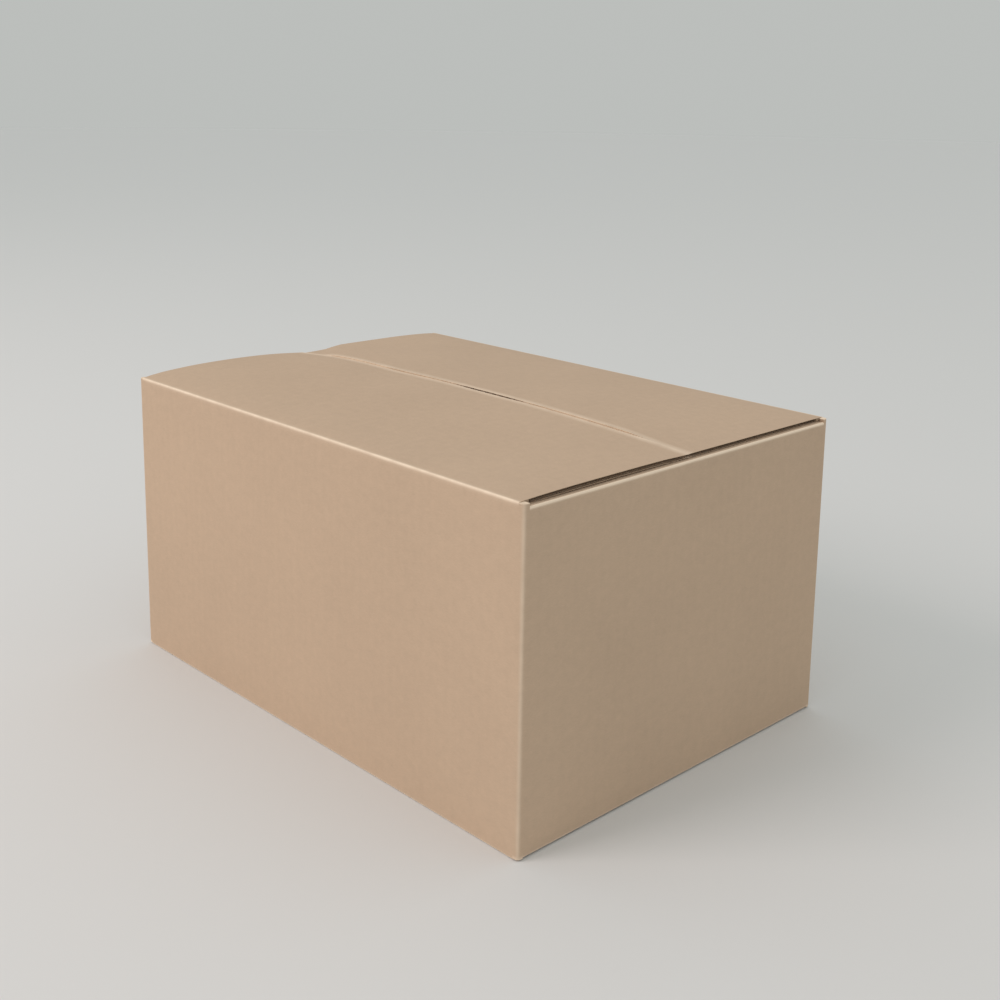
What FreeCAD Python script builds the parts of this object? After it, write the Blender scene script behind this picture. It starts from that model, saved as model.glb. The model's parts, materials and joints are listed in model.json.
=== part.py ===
"""A closed cardboard box: one folded and glued sheet of single-wall corrugated board, with two outer
top flaps that hinge on their creases. Millimetres, +Z up, length along X. The origin is the centre
of the base, on the surface that the box stands on."""

import FreeCAD
import Part

import math
import os

# The space inside the four walls, and the height from the floor to the outer flaps' crease.
INSIDE_LENGTH = 427.0
INSIDE_WIDTH = 300.0
HEIGHT = 224.0

# The board and its folds.
BOARD = 4.0  # thickness of the sheet
FOLD_RADIUS = 3.0  # outside radius of a fold
CREASE_RADIUS = 1.0  # outside radius of an outer top flap's crease, which folds more sharply
CREASE_WEB = 1.6  # what is left of the thickness at an outer flap's crease
CREASE_SLOPE = 6.0  # length over which the board thins towards that crease
CREASE_GAP = 0.3  # parts each outer flap from its wall

# The slots that part neighbouring flaps.
SLOT_INSET = 4.5  # from a wall's outside face to the flap edge beside the slot
SLOT_PAST_CREASE = 0.5  # how far a slot runs on beyond the end wall's crease
SEAM_GAP = 1.0  # between two outer flaps where they meet

# The end walls stand a little short of the side walls, because their flaps fold in first.
FOOT_STEP = 1.0  # height of the end walls' lower fold above the floor
FOOT_RAMP = 15.0  # length over which a lower inner flap climbs onto the outer ones

# The glued joint, inside the back wall at the left end.
TAB_WIDTH = 35.0
TAB_TAPER = 10.0  # how much lower the tab is at its free edge, at each end
TAB_END_GAP = 4.0  # between the tab and the inner flaps

# The outer top flaps are bowed. Each row says how far a flap stands above the plane of its crease at
# RISE_DEPTHS, which are shares of the way from the crease to the free edge.
RISE_DEPTHS = (0.22, 0.50, 0.80, 1.0)
FRONT_RISES = {
    "left": (3.6, 4.7, 3.4, 0.7),
    "middle": (2.6, 5.0, 6.6, 7.0),
    "right": (0.9, 1.1, 1.0, 0.7),
}
BACK_RISES = {
    "left": (2.2, 2.8, 2.8, 2.4),
    "middle": (2.8, 5.2, 7.2, 7.8),
    "right": (1.0, 1.4, 1.8, 2.0),
}
SHOULDER_RISE = 0.45  # share of the first rise that a flap has where it is full thickness again

LENGTH = INSIDE_LENGTH + 2 * BOARD
WIDTH = INSIDE_WIDTH + 2 * BOARD
HALF_LENGTH = LENGTH / 2
HALF_WIDTH = WIDTH / 2
FLAP_DEPTH = HALF_WIDTH - SEAM_GAP / 2  # from the outside face to the free edge, on all flaps
FLAP_HALF_LENGTH = HALF_LENGTH - SLOT_INSET
FLAP_HALF_WIDTH = HALF_WIDTH - SLOT_INSET
END_TOP = HEIGHT - BOARD  # top of the end walls and of the inner flaps
CORNER_TOP = END_TOP - SLOT_PAST_CREASE
CORNER_FOOT = FOOT_STEP + SLOT_PAST_CREASE
CORNER_REACH = SLOT_INSET + BOARD  # how far a corner's folded board reaches along each wall
SHOULDER = BOARD + CREASE_SLOPE  # depth at which an outer flap is full thickness
FOLD_INSET = FOLD_RADIUS * (1 - math.sqrt(0.5))  # from a fold's corner to its round, along each face
CREASE_INSET = CREASE_RADIUS * (1 - math.sqrt(0.5))


def vector(x, y, z):
    return FreeCAD.Vector(x, y, z)


def lines(points):
    """Straight edges through a list of points."""
    return [Part.LineSegment(a, b).toShape() for a, b in zip(points, points[1:])]


def arc(start, middle, end):
    return Part.Arc(start, middle, end).toShape()


def spline(points):
    """One smooth edge through a list of points."""
    curve = Part.BSplineCurve()
    curve.interpolate(points)
    return curve.toShape()


def prism(edges, direction):
    """The solid swept by a closed outline moved in a straight line."""
    return Part.Face(Part.Wire(edges)).extrude(direction)


def mirrored_y(shape):
    return shape.mirror(vector(0, 0, 0), vector(0, 1, 0))


def mirrored_x(shape):
    return shape.mirror(vector(0, 0, 0), vector(1, 0, 0))


def crease_points():
    """Outline of an outer flap's crease on the wall's side, as (depth, height) from the fold's corner:
    the start, middle and end of the wall's half of the round, and the inner end of its slanting face."""
    half_turn = math.radians(22.5)
    shift = CREASE_GAP / math.sqrt(2)
    web = CREASE_WEB / math.sqrt(2)
    start = (0.0, -CREASE_RADIUS)
    middle = (CREASE_RADIUS * (1 - math.cos(half_turn)), -CREASE_RADIUS * (1 - math.sin(half_turn)))
    end = (CREASE_INSET, -CREASE_INSET)
    inner = (CREASE_INSET + web, -CREASE_INSET - web)
    return [(depth, height - shift) for depth, height in (start, middle, end, inner)]


def side_wall():
    """Front wall with its lower outer flap, full length between the slots."""

    def at(depth, z):
        return vector(-FLAP_HALF_LENGTH, -HALF_WIDTH + depth, z)

    start, middle, end, inner = [at(depth, HEIGHT + height) for depth, height in crease_points()]
    edges = [arc(start, middle, end)]
    edges += lines(
        [
            end,
            inner,
            at(BOARD, HEIGHT - SHOULDER),
            at(BOARD, BOARD),
            at(FLAP_DEPTH, BOARD),
            at(FLAP_DEPTH, 0),
            at(FOLD_RADIUS, 0),
        ]
    )
    edges += [arc(at(FOLD_RADIUS, 0), at(FOLD_INSET, FOLD_INSET), at(0, FOLD_RADIUS))]
    edges += lines([at(0, FOLD_RADIUS), start])
    return prism(edges, vector(2 * FLAP_HALF_LENGTH, 0, 0))


def end_wall():
    """Right end wall with its upper and lower inner flaps."""

    def at(depth, z):
        return vector(HALF_LENGTH - depth, -FLAP_HALF_WIDTH, z)

    foot = FOOT_STEP + FOLD_INSET
    top = END_TOP - FOLD_INSET
    edges = lines([at(0, END_TOP - FOLD_RADIUS), at(0, FOOT_STEP + FOLD_RADIUS)])
    edges += [arc(at(0, FOOT_STEP + FOLD_RADIUS), at(FOLD_INSET, foot), at(FOLD_RADIUS, FOOT_STEP))]
    edges += lines(
        [
            at(FOLD_RADIUS, FOOT_STEP),
            at(FOOT_RAMP, BOARD),
            at(FLAP_DEPTH, BOARD),
            at(FLAP_DEPTH, 2 * BOARD),
            at(FOOT_RAMP, 2 * BOARD),
            at(BOARD, FOOT_STEP + BOARD),
            at(BOARD, END_TOP - BOARD),
            at(FLAP_DEPTH, END_TOP - BOARD),
            at(FLAP_DEPTH, END_TOP),
            at(FOLD_RADIUS, END_TOP),
        ]
    )
    edges += [arc(at(FOLD_RADIUS, END_TOP), at(FOLD_INSET, top), at(0, END_TOP - FOLD_RADIUS))]
    return prism(edges, vector(0, 2 * FLAP_HALF_WIDTH, 0))


def corner_post():
    """The folded corner between the front wall and the right end wall, between the slots' ends."""

    def at(x_inset, y_inset):
        return vector(HALF_LENGTH - x_inset, -HALF_WIDTH + y_inset, CORNER_FOOT)

    edges = [arc(at(FOLD_RADIUS, 0), at(FOLD_INSET, FOLD_INSET), at(0, FOLD_RADIUS))]
    edges += lines(
        [
            at(0, FOLD_RADIUS),
            at(0, CORNER_REACH),
            at(BOARD, CORNER_REACH),
            at(BOARD, BOARD),
            at(CORNER_REACH, BOARD),
            at(CORNER_REACH, 0),
            at(FOLD_RADIUS, 0),
        ]
    )
    return prism(edges, vector(0, 0, CORNER_TOP - CORNER_FOOT))


def glued_corner():
    """The corner between the back wall and the left end wall. The back wall's cut edge lies flush with
    the end wall, whose own fold turns in behind it and leaves a narrow groove."""

    def at(x_inset, y_inset):
        return vector(-HALF_LENGTH + x_inset, HALF_WIDTH - y_inset, CORNER_FOOT)

    fold = arc(
        at(FOLD_RADIUS, BOARD),
        at(FOLD_INSET, BOARD + FOLD_INSET),
        at(0, BOARD + FOLD_RADIUS),
    )
    edges = lines([at(0, 0), at(0, BOARD), at(FOLD_RADIUS, BOARD)]) + [fold]
    edges += lines(
        [
            at(0, BOARD + FOLD_RADIUS),
            at(0, CORNER_REACH + BOARD),
            at(BOARD, CORNER_REACH + BOARD),
            at(BOARD, 2 * BOARD),
            at(CORNER_REACH, 2 * BOARD),
            at(CORNER_REACH, 0),
            at(0, 0),
        ]
    )
    return prism(edges, vector(0, 0, CORNER_TOP - CORNER_FOOT))


def glue_tab():
    """The tab that carries on from the left end wall and is glued to the inside of the back wall."""
    y = HALF_WIDTH - 2 * BOARD
    low = 2 * BOARD + TAB_END_GAP
    high = END_TOP - BOARD - TAB_END_GAP
    root = -HALF_LENGTH + BOARD / 2
    tip = -HALF_LENGTH + BOARD + TAB_WIDTH
    edges = lines(
        [
            vector(root, y, low),
            vector(tip, y, low + TAB_TAPER),
            vector(tip, y, high - TAB_TAPER),
            vector(root, y, high),
            vector(root, y, low),
        ]
    )
    return prism(edges, vector(0, BOARD, 0))


def carton():
    """The folded sheet without its outer top flaps: four walls, the glued corner, the closed base and
    the two inner top flaps."""
    front = side_wall()
    right = end_wall()
    post = corner_post()
    pieces = [
        mirrored_y(front),
        right,
        mirrored_x(right),
        post,
        mirrored_x(post),
        mirrored_y(post),
        glued_corner(),
        glue_tab(),
    ]
    return front.multiFuse(pieces).removeSplitter()


def flap_section(x, rises):
    """Outline of a front outer flap at one place along its length, from its crease to its free edge."""

    def at(depth, height):
        return vector(x, -HALF_WIDTH + depth, HEIGHT + height)

    start, middle, end, inner = [at(-height, -depth) for depth, height in crease_points()]
    ridge = [(SHOULDER, SHOULDER_RISE * rises[0])]
    ridge += [(share * FLAP_DEPTH, rise) for share, rise in zip(RISE_DEPTHS, rises)]
    top = [start] + [at(depth, rise) for depth, rise in ridge]
    under = [at(depth, rise - BOARD) for depth, rise in reversed(ridge)]
    edges = [arc(end, middle, start), spline(top)]
    edges += lines([top[-1], under[0]])
    edges += [spline(under)]
    edges += lines([under[-1], inner, end])
    return Part.Wire(edges)


def outer_flap(rises):
    """A front outer top flap, smooth from its left end through its middle to its right end."""
    places = (-FLAP_HALF_LENGTH, 0.0, FLAP_HALF_LENGTH)
    sections = [flap_section(x, rises[name]) for x, name in zip(places, ("left", "middle", "right"))]
    return Part.makeLoft(sections, True, False)


def save(node, shape):
    shape.exportStep(os.path.join("parts", node + ".step"))
    print(node, "solids", len(shape.Solids), "valid", shape.isValid(), "volume", round(shape.Volume))


os.makedirs("parts", exist_ok=True)
save("carton", carton())
save("front_flap", outer_flap(FRONT_RISES))
save("back_flap", mirrored_y(outer_flap(BACK_RISES)))
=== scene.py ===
"""The looks of a closed cardboard box: one folded sheet of corrugated board with its two facing papers
and the fluted paper between them, its creases, slots and cut edges, on a pale floor in soft light.
Lengths are in millimetres until a mesh is made. The floor and the light are in metres."""

import json
import math
from collections import namedtuple
from itertools import product

import bmesh
import bpy
import numpy as np
from mathutils import Matrix, Vector


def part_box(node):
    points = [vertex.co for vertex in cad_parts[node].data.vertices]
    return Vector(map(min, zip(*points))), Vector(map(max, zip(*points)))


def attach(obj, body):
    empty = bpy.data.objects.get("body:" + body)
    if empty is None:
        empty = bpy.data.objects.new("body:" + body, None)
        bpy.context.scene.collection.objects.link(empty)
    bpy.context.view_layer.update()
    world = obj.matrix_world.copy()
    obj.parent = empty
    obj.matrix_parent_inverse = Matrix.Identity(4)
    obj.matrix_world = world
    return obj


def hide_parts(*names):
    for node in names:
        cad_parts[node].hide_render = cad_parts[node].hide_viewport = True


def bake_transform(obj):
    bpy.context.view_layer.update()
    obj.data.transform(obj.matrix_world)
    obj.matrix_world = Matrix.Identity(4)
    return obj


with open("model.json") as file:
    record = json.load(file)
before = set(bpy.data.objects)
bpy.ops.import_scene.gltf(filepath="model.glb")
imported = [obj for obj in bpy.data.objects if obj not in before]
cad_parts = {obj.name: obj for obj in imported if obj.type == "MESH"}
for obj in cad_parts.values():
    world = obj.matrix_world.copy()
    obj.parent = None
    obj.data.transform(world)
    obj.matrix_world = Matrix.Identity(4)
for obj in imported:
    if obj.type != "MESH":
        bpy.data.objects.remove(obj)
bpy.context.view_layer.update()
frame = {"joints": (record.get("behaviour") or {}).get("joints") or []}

MM = 0.001

# The sizes that the frame gives.
carton_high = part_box("carton")[1]
flap_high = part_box("front_flap")[1]
hinge = next(joint for joint in frame["joints"] if joint["name"] == "front_flap_hinge")
HALF_LENGTH = carton_high.x / MM
HALF_WIDTH = carton_high.y / MM
HEIGHT = hinge["pos_m"][2] / MM  # up to the outer top flaps' creases
FLAP_DEPTH = HALF_WIDTH + flap_high.y / MM

# The board. Its layers are shares of the thickness, counted from the outside.
BOARD = 4.0
PAPER = 0.35  # each facing paper
LAYERS = (0.0, PAPER / BOARD, 1 - PAPER / BOARD, 1.0)
FLUTE_PAPER = 0.28
FLUTE_PITCH = 7.8
FLUTE_REACH = (BOARD - 2 * PAPER - FLUTE_PAPER) / 2  # of a wave, to each side of the board's middle

# Folds and slots.
FOLD_RADIUS = 3.0
FLAP_FOLD_RADIUS = 1.2  # where a level flap folds in
REACH = 4.5  # how far a fold takes up the board on each side of its corner
FOLD_RUN = 2 * REACH - BOARD / 2  # how much of the flat sheet a fold takes up
END_TOP = HEIGHT - BOARD  # top of the end walls and of the inner flaps
CORNER_RISE = 3.6  # how far the corners' cut ends stand above that
CORNER_TOP = END_TOP + CORNER_RISE
CORNER_FOOT = 0.9
FOOT_STEP = 1.0  # height of the end walls' lower fold above the floor
FOOT_RAMP = 15.0  # depth at which a lower inner flap has climbed onto the outer ones
WALL_LOW = FOOT_STEP + REACH
WALL_HIGH = END_TOP - REACH

# The crease of an outer top flap. A strip of the outer paper bends over it.
CREASE_RADIUS = 0.8
CREASE_DEPTH = 1.55  # how far in the slanting end of the board reaches
CREASE_CLEARANCE = 0.1  # parts the slanting ends of the wall and the flap
SHOULDER = 8.0  # from the crease to where the board is full thickness
STRIP = 4.0  # how far the strip reaches down the wall, and in along the flap
CREASE_ROWS = (2.0, STRIP, 6.0, SHOULDER)  # distances of the grid's rows on both sides of it
CREASE_STEPS = 4  # of the round between them
CREASE_MIDDLE = 1 + len(CREASE_ROWS) + CREASE_STEPS // 2  # the row in the middle of the round
STRIP_ROWS = CREASE_STEPS // 2 + 1 + CREASE_ROWS.index(STRIP)  # the strip's rows on each side of it

# The glued joint.
TAB_WIDTH = 35.0
TAB_TAPER = 10.0  # how much lower the tab is at its free edge, at each end
TAB_END_GAP = 4.0  # between the tab and the inner flaps

# Cut edges, where the fluted paper stands back from the facing papers and leaves a hollow.
EDGE_SETBACK = 7.0  # beside a slot
END_SETBACK = 1.6  # along a free edge
WALL_SETBACK = 2.8  # at the back wall's cut end
FLANK_ROOT = 0.3  # from where a flank leaves the outer paper to the start of the hollow
FLANK_RUN = 5.0  # from there to where it meets the inner paper
FLANK_CURVE = 0.55  # below 1, a flank is steepest near the outer paper
FLANK_END = 0.5  # from the last of a flank to the flap's free edge
WAVE_ROOT = 0.3  # from the back of a wave to the start of the hollow
WAVE_FILL = 0.65  # share of the hollow that the waves fill
WAVE_CLEARANCE = 0.05  # keeps the front of a wave short of a pinched edge

# How far the outer top flaps stand above the plane of their creases, at shares of their depth. The
# three rows are the left end, the middle and the right end.
RISE_SHARES = (0.0, 0.065, 0.22, 0.50, 0.80, 1.0)
FRONT_RISES = (
    (0.0, 1.6, 3.6, 4.7, 3.4, 0.7),
    (0.0, 1.2, 2.6, 5.0, 6.6, 7.0),
    (0.0, 0.4, 0.9, 1.1, 1.0, 0.7),
)
BACK_RISES = (
    (0.0, 1.0, 2.2, 2.8, 2.8, 2.4),
    (0.0, 1.3, 2.8, 5.2, 7.2, 7.8),
    (0.0, 0.45, 1.0, 1.4, 1.8, 2.0),
)

# The seam. Over one stretch the outer top flaps stand apart and their fluted paper is drawn in.
GAP_START = -6.0
GAP_END = 53.0
GAP_FADE = 4.0
GAP_PULL = 0.4  # how far the near flap's free edge is drawn back there
GAP_SETBACK = 1.8  # how far the far flap's fluted paper stands back there
CRUSHED_SETBACK = 0.02  # and elsewhere, where the cut edge is pinched
SEAM_CLOSING = 0.9  # how far the near flap's free edge reaches towards the far one elsewhere
CLOSING_REACH = 12.0  # how far in from the free edge that moves the flap

# The near flap's right rear corner is crushed, and the far flap's left front corner is bent down.
CRUSHED_REACH, CRUSHED_SHARE, CRUSHED_DROP = 26.0, 0.45, 0.6
BENT_START, BENT_ALONG, BENT_ACROSS, BENT_DROP = 1.9, 27.5, 22.0, 2.3

# Both outer top flaps swell a little beside the seam near their left end.
SWELL = {"front": 1.6, "back": 1.3}
SWELL_PLACE, SWELL_REACH, SWELL_DEPTH = -150.0, 80.0, 70.0

# At the right end their cut sides are pressed thinner, and the far flap lies flat.
PINCH = {"front": 0.25, "back": 0.35}
PINCH_REACH = 16.0
FLAT_SHARE, FLAT_REACH = 0.85, 60.0

# The right end wall's fold stands a little higher, close under the outer flaps.
LIFT = 1.3
LIFT_DEPTH = 45.0

SAG = 0.5  # how far the middle of a wall is drawn in

# How pale the folds are: rubbed paper with a painted highlight where each fold catches the light, and
# how far that reaches to each side.
UPRIGHT_WEAR_AND_HIGHLIGHT, UPRIGHT_WEAR_AND_HIGHLIGHT_WIDTH = 0.45, 1.2
TOP_FOLD_WEAR_AND_HIGHLIGHT, TOP_FOLD_WEAR_AND_HIGHLIGHT_WIDTH = 2.2, 0.75
BASE_WEAR_AND_HIGHLIGHT, BASE_WEAR_AND_HIGHLIGHT_WIDTH = 1.1, 0.8
CREASE_WEAR_AND_HIGHLIGHT, CREASE_WEAR_AND_HIGHLIGHT_WIDTH = 1.0, 1.25

# How pale the rubbed paper is at the corners' cut ends, at the slots and at the foot, and along the outer
# top flaps' free edges, where the paleness is also a painted highlight of the rounded rim.
WEAR_SLOT, WEAR_SLOT_FADE = 0.9, 0.7
WEAR_FOOT, WEAR_FOOT_FADE = 0.8, 2.5
RIM_WEAR_AND_HIGHLIGHT, RIM_WIDTH = 0.6, 6.5
RIM_ROW = 3.0  # a row of the grid lies this far in from such an edge

# The grid. Spacings are the longest that its cells get.
SPACING = 9.0  # on the walls and flaps
FOLD_SPACING = 0.7  # on the straight parts of a fold
FOLD_STEPS = 7  # of its round
RAMP_SPACING = 2.1  # of a level flap, from its fold to FOOT_RAMP
TAB_STEPS = 20
FLANK_STEPS = 8
WAVE_STEPS = 8  # of each wave
SAME_ROW = 0.001  # rows closer than this are one
WELD = 0.002  # neighbouring blocks' corners closer than this are joined
SHARP_ANGLE = 50.0  # edges sharper than this aren't shaded smooth

# The finish of each layer of the board, and the sides of the facing papers that face the flutes, as
# (layer, axis through the thickness, end).
FINISHES = ("outside", "cut", "inside")
HIDDEN_SIDES = ((0, 2, 1), (2, 2, 0))

# A column is a place along a wall or round an upright fold. A row is a place up a wall, round a level
# fold or in along a flap. along is the flat sheet's coordinate, outer and inner say where the board's
# two faces are, u is the distance from the wall's middle, and the paleness and sag say how pale the
# paper is painted, as rubbed paper and as a painted highlight on folds and rims, and how far the wall is
# drawn in.
Column = namedtuple("Column", "along outer inner u worn sag")
Row = namedtuple("Row", "along outer inner worn")

# A panel is a wall with its flaps, seen from above: the middle of its outside face, the direction
# along it and the direction in.
Panel = namedtuple("Panel", "origin heading inward")

FRONT = Panel((0.0, -HALF_WIDTH), (1, 0), (0, 1))
RIGHT = Panel((HALF_LENGTH, 0.0), (0, 1), (-1, 0))
BACK = Panel((0.0, HALF_WIDTH), (-1, 0), (0, -1))
LEFT = Panel((-HALF_LENGTH, 0.0), (0, -1), (1, 0))
TAB = Panel((0.0, HALF_WIDTH - BOARD), (-1, 0), (0, -1))

# The glue tab and the four walls in the sheet's order, each with the two ends of its flat part.
WALLS = (
    (TAB, HALF_LENGTH - BOARD - TAB_WIDTH, HALF_LENGTH - REACH),
    (LEFT, BOARD + REACH - HALF_WIDTH, HALF_WIDTH - REACH),
    (FRONT, REACH - HALF_LENGTH, HALF_LENGTH - REACH),
    (RIGHT, REACH - HALF_WIDTH, HALF_WIDTH - REACH),
    (BACK, REACH - HALF_LENGTH, HALF_LENGTH - REACH),
)


def mix(a, b, share):
    """The point part of the way from a to b."""
    return tuple(p + (q - p) * share for p, q in zip(a, b))


def steps(start, end, spacing):
    """Evenly spaced values from start to end, both included."""
    count = max(1, math.ceil(abs(end - start) / spacing))
    return [start + (end - start) * i / count for i in range(count + 1)]


def smooth(share):
    """0 up to 0 and 1 from 1 on, with a smooth rise between."""
    share = min(1.0, max(0.0, share))
    return share * share * (3 - 2 * share)


def bell(distance, width):
    """1 at no distance, with a smooth fall to nearly 0 at twice the width."""
    return math.exp(-((distance / width) ** 2))


def fold(radius=FOLD_RADIUS):
    """The steps of a fold. Each has its share of the way round, where the outer and the inner face lie,
    as distances from the sharp corner along the board's direction before the fold and along its
    direction after it, and the distance round the outer face from the middle of the fold."""
    straight = REACH - radius
    arc = radius * math.pi / 2
    length = 2 * straight + arc
    runs = steps(0, straight, FOLD_SPACING)[:-1] + steps(straight, straight + arc, arc / FOLD_STEPS)
    runs += steps(straight + arc, length, FOLD_SPACING)[1:]
    result = []
    for run in runs:
        share = run / length
        turn = min(math.pi / 2, max(0.0, (run - straight) / radius))
        outer = (min(0.0, run - REACH), max(0.0, run - straight - arc + radius))
        if 0 < turn < math.pi / 2:
            outer = (radius * (math.sin(turn) - 1), radius * (1 - math.cos(turn)))
        tight = REACH - BOARD
        angle = share * math.pi / 2
        inner = (tight * math.sin(angle) - REACH, REACH - tight * math.cos(angle))
        result.append((share, outer, inner, run - length / 2))
    return result


def smooth_line(x, xs, ys):
    """The height at x of a smooth curve through the points (xs, ys)."""
    slopes = np.gradient(ys, xs)
    i = int(np.clip(np.searchsorted(xs, x) - 1, 0, len(xs) - 2))
    width = xs[i + 1] - xs[i]
    t = min(1.0, max(0.0, (x - xs[i]) / width))
    low, high = ys[i], ys[i + 1]
    bend = (slopes[i] * (1 - t) - slopes[i + 1] * t) * width + (high - low) * (2 * t - 1)
    return low + (high - low) * t + t * (1 - t) * bend


def rise(rises, x, depth):
    """How far an outer top flap stands above the plane of its crease."""
    share = max(0.0, depth) / FLAP_DEPTH
    left, middle, right = (smooth_line(share, RISE_SHARES, row) for row in rises)
    t = (x + HALF_LENGTH - REACH) / (2 * (HALF_LENGTH - REACH))
    return left * (1 - t) * (1 - 2 * t) + middle * 4 * t * (1 - t) - right * t * (1 - 2 * t)


def gap_share(x):
    """1 inside the open stretch of the seam and 0 outside it."""
    start = 1 + math.exp((GAP_START - x) / GAP_FADE)
    end = 1 + math.exp((x - GAP_END) / GAP_FADE)
    return 1 / (start * end)


def setback(x):
    """How far the fluted paper stands back from the back flap's free edge, which is pinched."""
    return CRUSHED_SETBACK + (GAP_SETBACK - CRUSHED_SETBACK) * gap_share(x)


def at(panel, u, depth, height):
    """A point of a panel's wall or flap, from its distance along the wall and in from its outside."""
    x = panel.origin[0] + panel.heading[0] * u + panel.inward[0] * depth
    y = panel.origin[1] + panel.heading[1] * u + panel.inward[1] * depth
    return x, y, height


def nothing_missing(i, j, k):
    """The usual answer to whether a cell of a block is missing."""
    return False


class Board:
    """Gathers the faces of a sheet of board, with the flat sheet's own coordinates at each corner."""

    def __init__(self):
        self.points = []
        self.flat = []
        self.worn = []
        self.faces = []
        self.finishes = []

    def corner(self, point, flat, worn=0.0):
        self.points.append(point)
        self.flat.append(flat)
        self.worn.append(worn)
        return len(self.points) - 1

    def face(self, corners, finish):
        self.faces.append(corners)
        self.finishes.append(finish)

    def block(self, columns, rows, place, missing=nothing_missing, layers=LAYERS, joined=()):
        """Adds a block of board: a grid of cells in two directions and through the thickness. Cells
        that are missing leave a hollow, and sides named in joined are left open for a neighbour."""
        counts = (len(columns) - 1, len(rows) - 1, len(layers) - 1)
        known = {}

        def corner(i, j, k):
            if (i, j, k) not in known:
                column, row = columns[i], rows[j]
                flat = (column.along, row.along, layers[k] * BOARD)
                worn = max(column.worn, row.worn)
                known[i, j, k] = self.corner(place(column, row, layers[k]), flat, worn)
            return known[i, j, k]

        def filled(cell):
            inside = all(0 <= c < count for c, count in zip(cell, counts))
            return inside and not missing(*cell)

        def is_bare(cell, axis, end):
            """Whether one side of a cell has neither a filled cell nor a neighbour beside it."""
            beside = list(cell)
            beside[axis] += 2 * end - 1
            beyond = not 0 <= beside[axis] < counts[axis]
            return not (filled(beside) or (beyond and (axis, end) in joined))

        def side_corners(cell, axis, end):
            """The four corners round one side of a cell."""
            first, second = (other for other in range(3) if other != axis)
            loop = []
            for p, q in ((0, 0), (1, 0), (1, 1), (0, 1)):
                grid_point = list(cell)
                grid_point[axis] += end
                grid_point[first] += p
                grid_point[second] += q
                loop.append(corner(*grid_point))
            return loop

        cells = [cell for cell in product(*map(range, counts)) if filled(cell)]
        for cell, axis, end in product(cells, range(3), (0, 1)):
            if is_bare(cell, axis, end):
                layer = cell[2]
                finish = "cut" if (layer, axis, end) in HIDDEN_SIDES else FINISHES[layer]
                self.face(side_corners(cell, axis, end), finish)

    def ribbon(self, centres, normals, flats, rails, place):
        """Adds a strip of the fluted paper. centres and normals give its section in the plane of place,
        and rails are the two or more positions that the section is swept through."""
        rings = []
        for rail in rails:
            ring = []
            for side in (-0.5, 0.5):
                for (p, q), (n, m), flat in zip(centres, normals, flats):
                    point = place(p + n * FLUTE_PAPER * side, q + m * FLUTE_PAPER * side, rail)
                    ring.append(self.corner(point, flat))
            rings.append(ring)
        count = len(centres)
        for ring, after in zip(rings, rings[1:]):
            for i in range(count - 1):
                self.face([ring[i], ring[i + 1], after[i + 1], after[i]], "cut")
                other = count + i
                self.face([ring[other], after[other], after[other + 1], ring[other + 1]], "cut")
        for ring in (rings[0], rings[-1]):
            for i in range(count - 1):
                self.face([ring[i], ring[count + i], ring[count + i + 1], ring[i + 1]], "cut")
        for ring, after in zip(rings, rings[1:]):
            for i in (0, count - 1):
                self.face([ring[i], after[i], after[count + i], ring[count + i]], "cut")

    def piece(self, name, materials):
        """The finished mesh, with its blocks joined where they meet."""
        mesh = bpy.data.meshes.new(name)
        mesh.from_pydata([tuple(c * MM for c in p) for p in self.points], [], self.faces)
        names = list(materials)
        for material in materials.values():
            mesh.materials.append(material)
        mesh.polygons.foreach_set("material_index", [names.index(f) for f in self.finishes])
        sheet = mesh.attributes.new("sheet", "FLOAT_VECTOR", "POINT")
        sheet.data.foreach_set("vector", np.array(self.flat, np.float32).ravel() * MM)
        # How pale each point is painted: rubbed paper, and a painted highlight along folds, creases and
        # rims.
        worn = mesh.attributes.new("worn", "FLOAT", "POINT")
        worn.data.foreach_set("value", np.array(self.worn, np.float32))
        work = bmesh.new()
        work.from_mesh(mesh)
        bmesh.ops.remove_doubles(work, verts=work.verts, dist=WELD * MM)
        bmesh.ops.recalc_face_normals(work, faces=work.faces)
        work.to_mesh(mesh)
        work.free()
        mesh.shade_smooth()
        mesh.set_sharp_from_angle(angle=math.radians(SHARP_ANGLE))
        piece = bpy.data.objects.new(name, mesh)
        bpy.context.scene.collection.objects.link(piece)
        return piece


def wall_columns(panel, low, high, along, sag):
    """Columns along a straight stretch of a wall, with one a little way in from each end."""
    columns = []
    for u in [low] + steps(low + EDGE_SETBACK, high - EDGE_SETBACK, SPACING) + [high]:
        outer = at(panel, u, 0, 0)[:2]
        inner = at(panel, u, BOARD, 0)[:2]
        drawn = sag * math.sin(math.pi * (u - low) / (high - low))
        columns.append(Column(along + u - low, outer, inner, u, 0.0, drawn))
    return columns


def corner_columns(before, after, along):
    """Columns round the fold between two walls."""
    corner = [
        before.origin[i] * abs(after.heading[i]) + after.origin[i] * abs(before.heading[i])
        for i in (0, 1)
    ]
    columns = []
    for share, outer, inner, away in fold():
        outer, inner = (
            tuple(corner[i] + a * before.heading[i] + b * after.heading[i] for i in (0, 1))
            for a, b in (outer, inner)
        )
        # Paler down the corner: rubbed paper and a painted highlight of the rounded fold.
        worn = UPRIGHT_WEAR_AND_HIGHLIGHT * bell(away, UPRIGHT_WEAR_AND_HIGHLIGHT_WIDTH)
        columns.append(Column(along + share * FOLD_RUN, outer, inner, None, worn, 0.0))
    return columns


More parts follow.
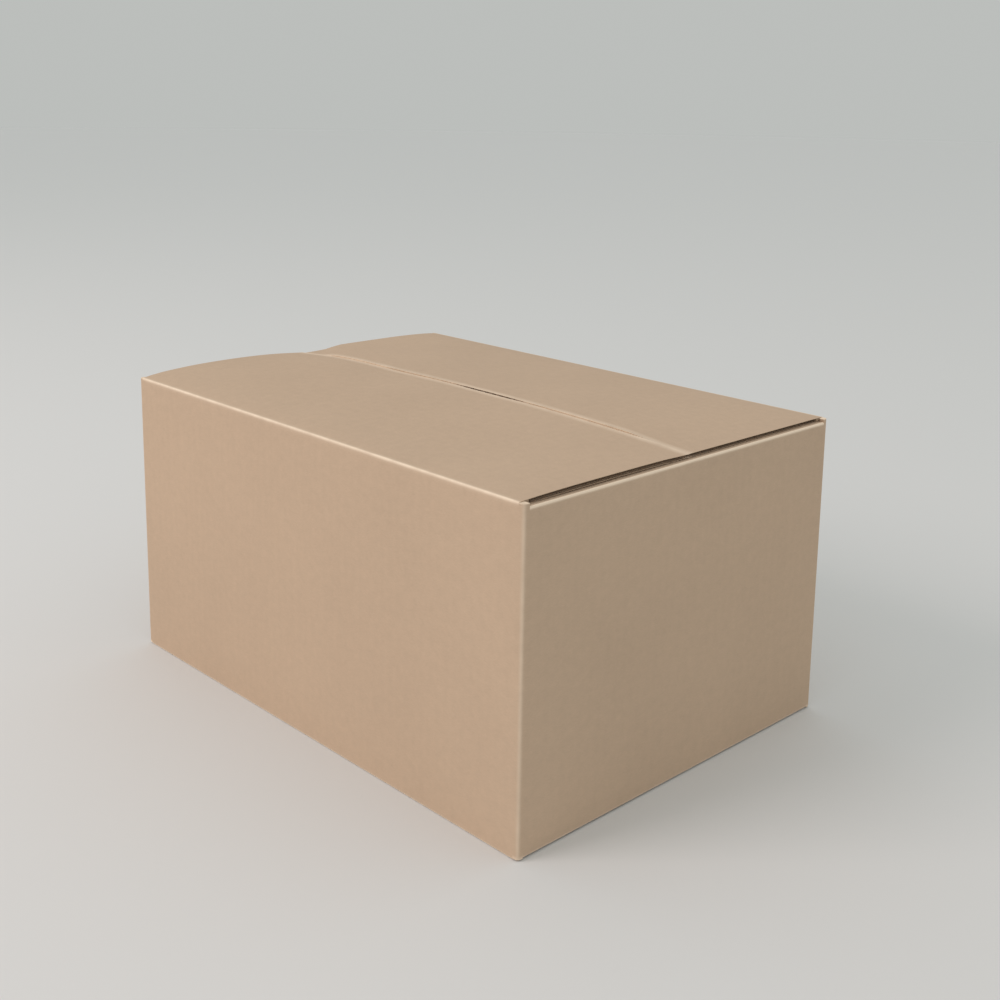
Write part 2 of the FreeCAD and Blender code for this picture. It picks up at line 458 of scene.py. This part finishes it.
def upright_rows(low, high):
    """Rows of a wall or corner. A corner is paler at its cut ends, where the paper is rubbed."""
    places = [(z, 0.0) for z in steps(low, high, SPACING)]
    if high > END_TOP:
        places[-1:] = [(high - WEAR_SLOT_FADE, 0.0), (high, WEAR_SLOT)]
    if low < FOOT_STEP:
        places[:1] = [(low, WEAR_FOOT), (low + WEAR_FOOT_FADE, 0.0)]
    return [Row(z, None, None, worn) for z, worn in places]


def fold_rows(height, up, along, worn, width):
    """Rows round the fold between a wall and a level flap. up is 1 at the top and -1 at the base."""
    rows = []
    for share, outer, inner, away in fold(FLAP_FOLD_RADIUS):
        outer, inner = ((b, height + up * a) for a, b in (outer, inner))
        rows.append(Row(along + up * share * FOLD_RUN, outer, inner, worn * bell(away, width)))
    return rows


def flat_rows(depths, height, up, along, rim=0.0):
    """Rows of a flap, whose outer face lies at height(depth). rim is the paleness at its free edge:
    rubbed paper and a painted highlight of the rounded rim.
    """
    rows = []
    for depth in depths:
        worn = rim * smooth((depth - FLAP_DEPTH + RIM_WIDTH) / RIM_WIDTH)
        outer, inner = (depth, height(depth)), (depth, height(depth) - up * BOARD)
        rows.append(Row(along + up * depth, outer, inner, worn))
    return rows


def place_upright(column, row, share):
    """Places the board of a wall or an upright fold. The rows' along is its height."""
    x, y = mix(column.outer, column.inner, share)
    up = min(1.0, max(0.0, (row.along - WALL_LOW) / (WALL_HIGH - WALL_LOW)))
    drawn = column.sag * math.sin(math.pi * up) / BOARD
    x += (column.inner[0] - column.outer[0]) * drawn
    y += (column.inner[1] - column.outer[1]) * drawn
    return x, y, row.along


def level_point(panel):
    """A function that gives a point of a flap that lies level."""

    def point(u, depth, height):
        if panel is RIGHT and height > WALL_HIGH:
            share = smooth((height - WALL_HIGH) / (END_TOP - WALL_HIGH))
            height += LIFT * share * smooth(1 - depth / LIFT_DEPTH)
        return at(panel, u, depth, height)

    return point


def bowed_point(panel, rises):
    """A function that gives a point of an outer top flap, which stands above its crease."""
    side = "front" if panel is FRONT else "back"

    def point(u, depth, height):
        x, y, _ = at(panel, u, depth, height)
        from_edge = FLAP_DEPTH - depth
        from_right = HALF_LENGTH - REACH - x
        from_left = HALF_LENGTH - REACH + x
        beside_seam = smooth(1 - from_edge / SWELL_DEPTH)
        lift = rise(rises, x, depth - CREASE_RADIUS)
        lift += SWELL[side] * smooth(1 - abs(x - SWELL_PLACE) / SWELL_REACH) * beside_seam
        thin = PINCH[side] * smooth(1 - from_right / PINCH_REACH) * smooth(depth / SHOULDER)
        if panel is FRONT:
            closing = SEAM_CLOSING - (GAP_PULL + SEAM_CLOSING) * gap_share(x)
            y += smooth(1 - from_edge / CLOSING_REACH) * closing
            crushed = smooth(1 - from_right / CRUSHED_REACH) * smooth(1 - from_edge / CRUSHED_REACH)
            thin = max(thin, CRUSHED_SHARE * crushed)
            lift -= CRUSHED_DROP * crushed
        else:
            if abs(from_edge - END_SETBACK) < SAME_ROW:
                y += panel.inward[1] * (END_SETBACK - setback(x))
            lift *= 1 - FLAT_SHARE * smooth(1 - from_right / FLAT_REACH)
            bent = smooth(BENT_START - from_left / BENT_ALONG - from_edge / BENT_ACROSS)
            lift -= BENT_DROP * bent
        return x, y, HEIGHT + (height - HEIGHT) * (1 - thin) + lift

    return point


def on_grid(point):
    """Makes a block's place function from a flap's point function."""
    return lambda column, row, share: point(column.u, *mix(row.outer, row.inner, share))


def open_edges(columns, rows, first, free_edge):
    """Says which cells of a flap lack their fluted paper: those along its sides, from row first on, and
    along its free edge if free_edge is true."""
    last_column, last_row = len(columns) - 2, len(rows) - 2

    def missing(i, j, k):
        side = i in (0, last_column) and j >= first
        return k == 1 and (side or (free_edge and j == last_row))

    return missing


def add_waves(board, low, high, place):
    """The waves of fluted paper that show along a flap's free edge. place takes the place along the
    edge, the depth below the outer face, and 0 behind the edge or 1 at it."""
    centres, normals = [], []
    for u in steps(low + EDGE_SETBACK, high - EDGE_SETBACK, FLUTE_PITCH / WAVE_STEPS):
        angle = 2 * math.pi * u / FLUTE_PITCH
        slope = -FLUTE_REACH * 2 * math.pi / FLUTE_PITCH * math.sin(angle)
        size = math.hypot(slope, 1)
        centres.append((u, BOARD / 2 + FLUTE_REACH * math.cos(angle)))
        normals.append((-slope / size, 1 / size))
    flats = [(u, HEIGHT + FLAP_DEPTH, n) for u, n in centres]
    board.ribbon(centres, normals, flats, (0, 1), place)


def wave_depth(rail, edge):
    """The depth in along a flap of a wave's back (rail 0) and front (rail 1). edge is how far the middle
    of the board stands back from the free edge."""
    return FLAP_DEPTH - edge * (1 - WAVE_FILL * rail) - WAVE_ROOT * (1 - rail) - WAVE_CLEARANCE


def add_flanks(board, low, high, rails, place):
    """The flanks of fluted paper that show along a cut side: each leaves the outer paper a little way in
    and meets the inner one near the edge."""
    for edge, side in ((low, -1), (high, 1)):
        centres = []
        for i in range(FLANK_STEPS + 1):
            inset = EDGE_SETBACK + FLANK_ROOT - FLANK_RUN * i / FLANK_STEPS
            turn = math.pi * (i / FLANK_STEPS) ** FLANK_CURVE
            centres.append((edge - side * inset, BOARD / 2 - FLUTE_REACH * math.cos(turn)))
        normals = []
        for i in range(FLANK_STEPS + 1):
            (a, b), (c, d) = centres[max(0, i - 1)], centres[min(FLANK_STEPS, i + 1)]
            size = math.hypot(c - a, d - b)
            normals.append(((b - d) / size, (c - a) / size))
        flats = [(u, 0.0, n) for u, n in centres]
        board.ribbon(centres, normals, flats, rails, place)


# The carton: the four walls, their folds, the glue tab, the level flaps and the side walls' tops.
def add_upright(board, columns, joined, missing=nothing_missing):
    """Adds an upright strip of board at a corner, which runs on past the walls at both ends."""
    for low, high, sides in (
        (CORNER_FOOT, WALL_LOW, ((1, 1),)),
        (WALL_LOW, WALL_HIGH, ((1, 0), (1, 1)) + joined),
        (WALL_HIGH, CORNER_TOP, ((1, 0),)),
    ):
        board.block(columns, upright_rows(low, high), place_upright, missing, joined=sides)


def add_tab(board, columns):
    """Adds the glue tab, which narrows towards its free edge."""
    low = 2 * BOARD + TAB_END_GAP
    high = END_TOP - BOARD - TAB_END_GAP
    width = columns[-1].along - columns[0].along

    def place(column, row, share):
        x, y = mix(column.outer, column.inner, share)
        taper = TAB_TAPER * (1 - (column.along - columns[0].along) / width)
        return x, y, low + taper + (high - low - 2 * taper) * row.along

    rows = [Row(i / TAB_STEPS, None, None, 0.0) for i in range(TAB_STEPS + 1)]
    board.block(columns, rows, place)


def base_height(panel, depth):
    """The height of a lower flap's outer face. The end walls' flaps climb onto the side walls'."""
    if panel in (FRONT, BACK):
        return 0.0
    return FOOT_STEP + (BOARD - FOOT_STEP) * smooth((depth - REACH) / (FOOT_RAMP - REACH))


def add_level_flap(board, panel, columns, up):
    """Adds an inner top flap, or a lower flap with its fold."""

    def height(depth):
        return END_TOP if up == 1 else base_height(panel, depth)

    if up == 1:
        folded = fold_rows(END_TOP, 1, WALL_HIGH, TOP_FOLD_WEAR_AND_HIGHLIGHT, TOP_FOLD_WEAR_AND_HIGHLIGHT_WIDTH)
    else:
        foot = height(0)
        folded = fold_rows(foot, -1, foot + REACH, BASE_WEAR_AND_HIGHLIGHT, BASE_WEAR_AND_HIGHLIGHT_WIDTH)
        if foot + REACH < WALL_LOW:
            folded.insert(0, Row(WALL_LOW, (0.0, WALL_LOW), (BOARD, WALL_LOW), 0.0))
    depths = steps(REACH, FOOT_RAMP, RAMP_SPACING)[1:]
    depths += steps(FOOT_RAMP, FLAP_DEPTH - END_SETBACK, SPACING)[1:]
    rows = folded + flat_rows(depths + [FLAP_DEPTH], height, up, folded[-1].along - up * REACH)
    inner_flap = up == 1 or panel in (LEFT, RIGHT)
    missing = open_edges(columns, rows, len(folded), inner_flap)
    point = level_point(panel)
    board.block(columns, rows, on_grid(point), missing, joined=((1, 0),))
    low, high = columns[0].u, columns[-1].u

    def beside(u, inset, depth):
        return point(u, depth, height(depth) - up * inset)

    def across(u, inset, rail):
        return beside(u, inset, wave_depth(rail, END_SETBACK))

    add_flanks(board, low, high, depths[:-1] + [FLAP_DEPTH - FLANK_END], beside)
    if inner_flap:
        add_waves(board, low, high, across)


def crease_profile():
    """The outer face round an outer top flap's crease, from the wall to the flap. Each row has its
    distance along the sheet, (depth, height above the sharp corner) and paleness: rubbed paper and a
    painted highlight where the crease catches the light."""
    heights = [WALL_HIGH - HEIGHT] + [-distance for distance in reversed(CREASE_ROWS)]
    places = [(HEIGHT + z, (0.0, z)) for z in heights]
    for i in range(CREASE_STEPS + 1):
        turn = math.pi / 2 / CREASE_STEPS * i
        outer = (CREASE_RADIUS * (1 - math.cos(turn)), -CREASE_RADIUS * (1 - math.sin(turn)))
        places.append((HEIGHT - CREASE_RADIUS * (1 - turn), outer))
    end = HEIGHT - CREASE_RADIUS * (2 - math.pi / 2)
    places += [(end + depth, (depth, 0.0)) for depth in CREASE_ROWS]
    middle = places[CREASE_MIDDLE][0]
    return [
        (along, outer, CREASE_WEAR_AND_HIGHLIGHT * bell(along - middle, CREASE_WEAR_AND_HIGHLIGHT_WIDTH))
        for along, outer in places
    ]


def crease_row(item, on_flap):
    """A row of board beside the crease, which thins to a slanting face there."""
    along, outer, worn = item
    inset = CREASE_RADIUS * (1 - math.sqrt(0.5))
    if on_flap:
        share = (SHOULDER - outer[0]) / (SHOULDER - inset)
        inner = mix((SHOULDER, -BOARD), (CREASE_DEPTH + CREASE_CLEARANCE, -CREASE_DEPTH), share)
    elif outer[1] <= -SHOULDER:
        inner = (BOARD, outer[1])
    else:
        share = (SHOULDER + outer[1]) / (SHOULDER - inset)
        inner = mix((BOARD, -SHOULDER), (CREASE_DEPTH, -CREASE_DEPTH - CREASE_CLEARANCE), share)
    return Row(along, (outer[0], HEIGHT + outer[1]), (inner[0], HEIGHT + inner[1]), worn)


def add_lip(board, panel, columns):
    """Adds the top of a side wall, up to the crease, without the strip of outer paper over the crease."""

    def missing(i, j, k):
        return k == 0 and j >= CREASE_MIDDLE - STRIP_ROWS

    rows = [crease_row(item, False) for item in crease_profile()[: CREASE_MIDDLE + 1]]
    board.block(columns, rows, on_grid(level_point(panel)), missing, joined=((1, 0),))


def add_cut_edge(board, along):
    """Adds the end of the back wall beyond its flaps, and the flank of fluted paper that its cut edge
    shows."""
    start = HALF_LENGTH - REACH
    columns = [
        Column(along + u - start, at(BACK, u, 0, 0)[:2], at(BACK, u, BOARD, 0)[:2], u, 0.0, 0.0)
        for u in (start, HALF_LENGTH - WALL_SETBACK, HALF_LENGTH)
    ]
    add_upright(board, columns, ((0, 0),), lambda i, j, k: k == 1 and i == 1)
    run = WALL_SETBACK * FLANK_STEPS / (FLANK_STEPS + 1)
    centres, normals = [], []
    for i in range(FLANK_STEPS + 1):
        turn = math.pi * i / FLANK_STEPS
        inset = WALL_SETBACK * (1 - i / (FLANK_STEPS + 1))
        slope = FLUTE_REACH * math.pi * math.sin(turn) / run
        size = math.hypot(slope, 1)
        centres.append((HALF_LENGTH - inset, BOARD / 2 - FLUTE_REACH * math.cos(turn)))
        normals.append((-slope / size, 1 / size))
    flats = [(along + u - start, 0.0, n) for u, n in centres]
    rails = steps(CORNER_FOOT, CORNER_TOP, SPACING)
    board.ribbon(centres, normals, flats, rails, lambda u, depth, z: at(BACK, u, depth, z))


# The outer top flaps.
def crease_strip(panel, columns, rises):
    """The strip of outer paper that bends round an outer top flap's crease."""
    profile = crease_profile()
    start, end = CREASE_MIDDLE - STRIP_ROWS, CREASE_MIDDLE + STRIP_ROWS
    rows = [crease_row(item, False) for item in profile[start:CREASE_MIDDLE]]
    wall_side, flap_side = (crease_row(profile[CREASE_MIDDLE], on_flap) for on_flap in (False, True))
    rows.append(wall_side._replace(inner=mix(wall_side.inner, flap_side.inner, 0.5)))
    rows += [crease_row(item, True) for item in profile[CREASE_MIDDLE + 1 : end + 1]]
    board = Board()
    board.block(columns, rows, on_grid(bowed_point(panel, rises)), layers=LAYERS[:2])
    return board


def outer_flap(panel, columns, rises):
    """An outer top flap from its crease to its free edge, without the strip of outer paper."""
    near = [crease_row(item, True) for item in crease_profile()[CREASE_MIDDLE:]]
    depths = steps(SHOULDER, FLAP_DEPTH - RIM_WIDTH, SPACING)[1:]
    depths += [FLAP_DEPTH - RIM_ROW, FLAP_DEPTH - END_SETBACK]
    along = near[-1].along - SHOULDER
    rows = near + flat_rows(depths + [FLAP_DEPTH], lambda depth: HEIGHT, 1, along, RIM_WEAR_AND_HIGHLIGHT)
    hollow = open_edges(columns, rows, len(near) - 1, True)
    point = bowed_point(panel, rises)

    def missing(i, j, k):
        return hollow(i, j, k) or (k == 0 and j < STRIP_ROWS)

    board = Board()
    board.block(columns, rows, on_grid(point), missing)
    low, high = columns[0].u, columns[-1].u

    def beside(u, inset, depth):
        return point(u, depth, HEIGHT - inset)

    def across(u, inset, rail):
        edge = END_SETBACK if panel is FRONT else setback(at(panel, u, 0, 0)[0])
        return beside(u, inset, wave_depth(rail, edge))

    add_flanks(board, low, high, [SHOULDER] + depths[:-1] + [FLAP_DEPTH - FLANK_END], beside)
    add_waves(board, low, high, across)
    return board


def build_boards():
    """The carton, and for each outer top flap the flap and its crease strip."""
    carton = Board()
    pieces = {"carton_sheet": carton}
    along, before = 0.0, None
    for panel, low, high in WALLS:
        if before is not None:
            first = ((0, 1),) if before is TAB else ((0, 0), (0, 1))
            add_upright(carton, corner_columns(before, panel, along), first)
            along += FOLD_RUN
        columns = wall_columns(panel, low, high, along, 0.0 if panel in (TAB, BACK) else SAG)
        along += high - low
        before = panel
        if panel is TAB:
            add_tab(carton, columns)
            continue
        sides = ((0, 0), (0, 1), (1, 0), (1, 1))
        carton.block(columns, upright_rows(WALL_LOW, WALL_HIGH), place_upright, joined=sides)
        add_level_flap(carton, panel, columns, -1)
        if panel in (LEFT, RIGHT):
            add_level_flap(carton, panel, columns, 1)
            continue
        name, rises = ("front", FRONT_RISES) if panel is FRONT else ("back", BACK_RISES)
        add_lip(carton, panel, columns)
        pieces[name + "_crease"] = crease_strip(panel, columns, rises)
        pieces[name + "_flap_sheet"] = outer_flap(panel, columns, rises)
    add_cut_edge(carton, along)
    return pieces


# Materials. Each finish of the paper has its colour, the darkest and lightest shares of it, and its
# roughness.
KRAFTS = {
    "outside": ((0.540, 0.392, 0.276), 0.88, 1.12, 0.80),
    "inside": ((0.490, 0.350, 0.244), 0.86, 1.14, 0.84),
    "cut": ((0.42, 0.300, 0.208), 0.70, 1.20, 0.90),
}
# The pale colour of rubbed paper, which is also the painted highlight along folds, creases and rims.
KRAFT_WEAR_AND_HIGHLIGHT = (0.86, 0.69, 0.53)

# The marks in the paper, as noises on the flat sheet: how often a metre along the sheet, across it and
# through it, how detailed, and from which place on.
CLOUDS = ((9.0, 7.0, 1.0), 3.0, 1.7)
MOTTLE = ((130.0, 170.0, 40.0), 4.0, 5.3)
FIBRES = ((420.0, 2300.0, 300.0), 3.0, 9.1)
SPECKS = ((900.0, 2600.0, 500.0), 1.0, 3.9)
PATCHES = ((60.0, 60.0, 60.0), 4.0, 7.7)

# How strongly each of them shows in the colour, the rubbing and painted highlight, the roughness and the
# relief. The flutes' tint is painted shade along them.
CLOUD_TINT, MOTTLE_TINT, FIBRE_TINT, FLUTE_SHADE_TINT = 0.55, 0.55, 0.75, 0.018
SPECK_START, SPECK_TINT = 0.70, 4.0
PATCH_BASE, PATCH_WEAR_AND_HIGHLIGHT = 0.35, 1.2
MOTTLE_ROUGHNESS = 0.14
MOTTLE_RELIEF, FIBRE_RELIEF, FLUTE_RELIEF = 0.03, 0.012, 0.010


def new_kraft(name, colour, darkest, lightest, roughness):
    """Unbleached kraft paper, pale where it is rubbed and where a highlight is painted along folds,
    creases and rims. The flat sheet's coordinates carry the fibres, which run along the sheet, and the
    faint painted shade of the flutes."""
    material = bpy.data.materials.new(name)
    material.use_nodes = True
    nodes, links = material.node_tree.nodes, material.node_tree.links
    shader = nodes["Principled BSDF"]
    shader.inputs["Specular IOR Level"].default_value = 0.25

    sheet = nodes.new("ShaderNodeAttribute")
    sheet.attribute_name = "sheet"

    def noise(scale, detail, start):
        mapping = nodes.new("ShaderNodeMapping")
        mapping.inputs["Scale"].default_value = scale
        mapping.inputs["Location"].default_value = (start, 2 * start, 3 * start)
        links.new(sheet.outputs["Vector"], mapping.inputs["Vector"])
        texture = nodes.new("ShaderNodeTexNoise")
        texture.inputs["Scale"].default_value = 1.0
        texture.inputs["Detail"].default_value = detail
        texture.inputs["Roughness"].default_value = 0.55
        links.new(mapping.outputs["Vector"], texture.inputs["Vector"])
        return texture.outputs["Fac"]

    def maths(operation, a, b=0.0, c=0.0):
        node = nodes.new("ShaderNodeMath")
        node.operation = operation
        for socket, value in zip(node.inputs, (a, b, c)):
            if isinstance(value, bpy.types.NodeSocket):
                links.new(value, socket)
            else:
                socket.default_value = value
        return node.outputs[0]

    split = nodes.new("ShaderNodeSeparateXYZ")
    links.new(sheet.outputs["Vector"], split.inputs[0])
    flute = maths("SINE", maths("MULTIPLY", split.outputs["X"], 2 * math.pi / (FLUTE_PITCH * MM)))
    clouds, mottle, fibres, specks = (noise(*marks) for marks in (CLOUDS, MOTTLE, FIBRES, SPECKS))

    tone = maths("MULTIPLY_ADD", clouds, CLOUD_TINT, -CLOUD_TINT / 2)
    tone = maths("MULTIPLY_ADD", maths("SUBTRACT", mottle, 0.5), MOTTLE_TINT, tone)
    tone = maths("MULTIPLY_ADD", maths("SUBTRACT", fibres, 0.5), FIBRE_TINT, tone)
    # Painted shade along the flutes.
    tone = maths("MULTIPLY_ADD", flute, FLUTE_SHADE_TINT, tone)
    speck = maths("MAXIMUM", maths("SUBTRACT", specks, SPECK_START), 0.0)
    tone = maths("SUBTRACT", tone, maths("MULTIPLY", speck, SPECK_TINT))
    tone = maths("ADD", tone, 0.5)

    ramp = nodes.new("ShaderNodeValToRGB")
    for stop, share in zip(ramp.color_ramp.elements, (darkest, lightest)):
        stop.color = (*(c * share for c in colour), 1.0)
    links.new(tone, ramp.inputs["Fac"])

    # Paler where the paper is rubbed and where a highlight is painted along folds, creases and rims.
    worn = nodes.new("ShaderNodeAttribute")
    worn.attribute_name = "worn"
    patches = maths("MULTIPLY_ADD", noise(*PATCHES), PATCH_WEAR_AND_HIGHLIGHT, PATCH_BASE)
    wear_and_highlight_share = maths("MULTIPLY", worn.outputs["Fac"], patches)
    wear_and_highlight_share.node.use_clamp = True

    mix_wear_and_highlight = nodes.new("ShaderNodeMix")
    mix_wear_and_highlight.data_type = "RGBA"
    links.new(wear_and_highlight_share, mix_wear_and_highlight.inputs["Factor"])
    links.new(ramp.outputs["Color"], mix_wear_and_highlight.inputs["A"])
    mix_wear_and_highlight.inputs["B"].default_value = (*KRAFT_WEAR_AND_HIGHLIGHT, 1.0)
    links.new(mix_wear_and_highlight.outputs["Result"], shader.inputs["Base Color"])

    rough = maths("MULTIPLY_ADD", mottle, MOTTLE_ROUGHNESS, roughness - MOTTLE_ROUGHNESS / 2)
    links.new(rough, shader.inputs["Roughness"])

    grain = maths("MULTIPLY_ADD", fibres, FIBRE_RELIEF, maths("MULTIPLY", mottle, MOTTLE_RELIEF))
    bump = nodes.new("ShaderNodeBump")
    bump.inputs["Distance"].default_value = MM
    bump.inputs["Strength"].default_value = 1.0
    links.new(maths("MULTIPLY_ADD", flute, FLUTE_RELIEF, grain), bump.inputs["Height"])
    links.new(bump.outputs["Normal"], shader.inputs["Normal"])
    return material


# The pieces. Each crease strip lies over the crease between the carton and its flap.
materials = {finish: new_kraft("kraft_" + finish, *look) for finish, look in KRAFTS.items()}
pieces = {name: board.piece(name, materials) for name, board in build_boards().items()}
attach(pieces["carton_sheet"], "box")
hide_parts("carton")
for name, side in (("front", -1), ("back", 1)):
    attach(pieces[name + "_flap_sheet"], name + "_flap")
    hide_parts(name + "_flap")
    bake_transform(pieces[name + "_crease"])


# The stage.
FLOOR_RADIUS = 12.0
FLOOR_DROP = 0.0003  # the floor lies this far below the box, so that their faces don't coincide
CENTRE = Vector((0, 0, HEIGHT / 2)) * MM


def add_floor():
    """A pale matte floor."""
    work = bmesh.new()
    bmesh.ops.create_circle(work, cap_ends=True, segments=128, radius=FLOOR_RADIUS)
    mesh = bpy.data.meshes.new("floor")
    work.to_mesh(mesh)
    work.free()
    floor = bpy.data.objects.new("floor", mesh)
    floor.location.z = -FLOOR_DROP
    bpy.context.scene.collection.objects.link(floor)
    material = bpy.data.materials.new("floor_paint")
    material.use_nodes = True
    shader = material.node_tree.nodes["Principled BSDF"]
    shader.inputs["Base Color"].default_value = (0.70, 0.69, 0.68, 1.0)
    shader.inputs["Roughness"].default_value = 0.9
    shader.inputs["Specular IOR Level"].default_value = 0.1
    mesh.materials.append(material)


def add_world(colour, strength, backdrop):
    """Even light from all round. The camera, glossy and clear surfaces see a plain backdrop, in the
    colour that the floor has far away."""
    world = bpy.data.worlds.new("studio")
    world.use_nodes = True
    nodes, links = world.node_tree.nodes, world.node_tree.links
    light = nodes["Background"]
    light.inputs["Color"].default_value = (*colour, 1.0)
    light.inputs["Strength"].default_value = strength
    seen = nodes.new("ShaderNodeBackground")
    seen.inputs["Color"].default_value = (*backdrop, 1.0)
    ray = nodes.new("ShaderNodeLightPath")
    glossy, clear = (nodes.new("ShaderNodeMath") for _ in range(2))
    for node, first, second in (
        (glossy, ray.outputs["Is Camera Ray"], ray.outputs["Is Glossy Ray"]),
        (clear, glossy.outputs[0], ray.outputs["Is Transmission Ray"]),
    ):
        node.operation = "MAXIMUM"
        links.new(first, node.inputs[0])
        links.new(second, node.inputs[1])
    shader = nodes.new("ShaderNodeMixShader")
    links.new(clear.outputs[0], shader.inputs[0])
    links.new(light.outputs[0], shader.inputs[1])
    links.new(seen.outputs[0], shader.inputs[2])
    links.new(shader.outputs[0], nodes["World Output"].inputs["Surface"])
    bpy.context.scene.world = world


def add_light(name, place, size, power, colour):
    """A square area light that faces the middle of the box."""
    data = bpy.data.lights.new(name, "AREA")
    data.size = size
    data.energy = power
    data.color = colour
    light = bpy.data.objects.new(name, data)
    light.location = place
    towards = CENTRE - light.location
    light.rotation_euler = towards.to_track_quat("-Z", "Y").to_euler()
    bpy.context.scene.collection.objects.link(light)


def add_camera():
    """The photograph's view, from corners of the box that were fitted to it. Distances are in lengths
    of the box, from its middle."""
    azimuth, elevation, roll = (math.radians(angle) for angle in (46.19, 11.24, 0.859))
    distance, aside, above = 2.3949, 0.0611, 0.3334
    back = Vector(
        (
            math.sin(azimuth) * math.cos(elevation),
            -math.cos(azimuth) * math.cos(elevation),
            math.sin(elevation),
        )
    )
    level = Vector((0, 0, 1)).cross(back).normalized()
    upright = back.cross(level)
    right = level * math.cos(roll) + upright * math.sin(roll)
    up = upright * math.cos(roll) - level * math.sin(roll)
    data = bpy.data.cameras.new("camera")
    data.sensor_width = 36.0
    data.lens = 48.44
    data.shift_y = -0.15
    camera = bpy.data.objects.new("camera", data)
    place = CENTRE + 2 * HALF_LENGTH * MM * (back * distance + right * aside + up * above)
    turn = Matrix((right, up, back)).transposed().to_4x4()
    camera.matrix_world = Matrix.Translation(place) @ turn
    bpy.context.scene.collection.objects.link(camera)
    bpy.context.scene.camera = camera


add_floor()
add_world(colour=(0.96, 1.0, 0.985), strength=0.75, backdrop=(0.5015, 0.5170, 0.5010))
add_light("key", place=(-1.1, -2.7, 2.1), size=1.6, power=44.0, colour=(1.0, 0.88, 0.86))
add_camera()
bpy.context.scene.view_settings.view_transform = "Standard"
